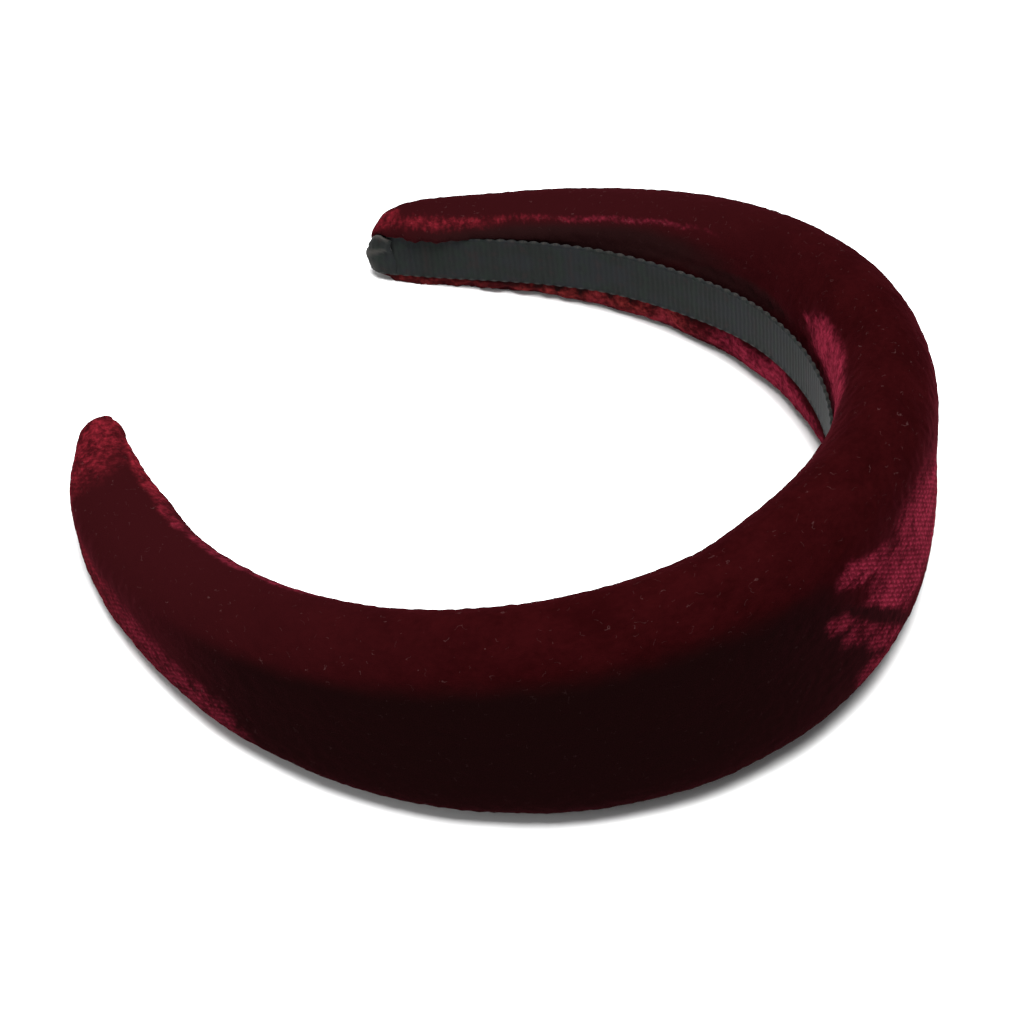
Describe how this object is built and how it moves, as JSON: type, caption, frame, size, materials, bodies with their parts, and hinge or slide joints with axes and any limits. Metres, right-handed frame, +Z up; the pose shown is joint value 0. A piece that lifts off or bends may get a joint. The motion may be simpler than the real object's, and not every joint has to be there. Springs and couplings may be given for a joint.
{
  "type": "padded headband",
  "caption": "Wide padded velvet headband, tall and thick at the crown and tapering to round tips, with a narrow ribbon lining.",
  "frame": {"origin": "on the surface that the band lies on, under the middle of its bounding box", "axes": "+Z up, across the band's height as it lies on its lower edge; +Y from the crown to the tips; +X across the head, from the left arm to the right arm"},
  "size_m": [0.1714, 0.1644, 0.0538],
  "materials": {
    "velvet": "burgundy velvet",
    "grosgrain": "dark grey-green grosgrain ribbon"
  },
  "bodies": {
    "root": {"velvet_pad": "velvet", "ribbon_lining": "grosgrain", "ribbon_tab_left": "grosgrain", "ribbon_tab_right": "grosgrain"}
  },
  "joints": []
}
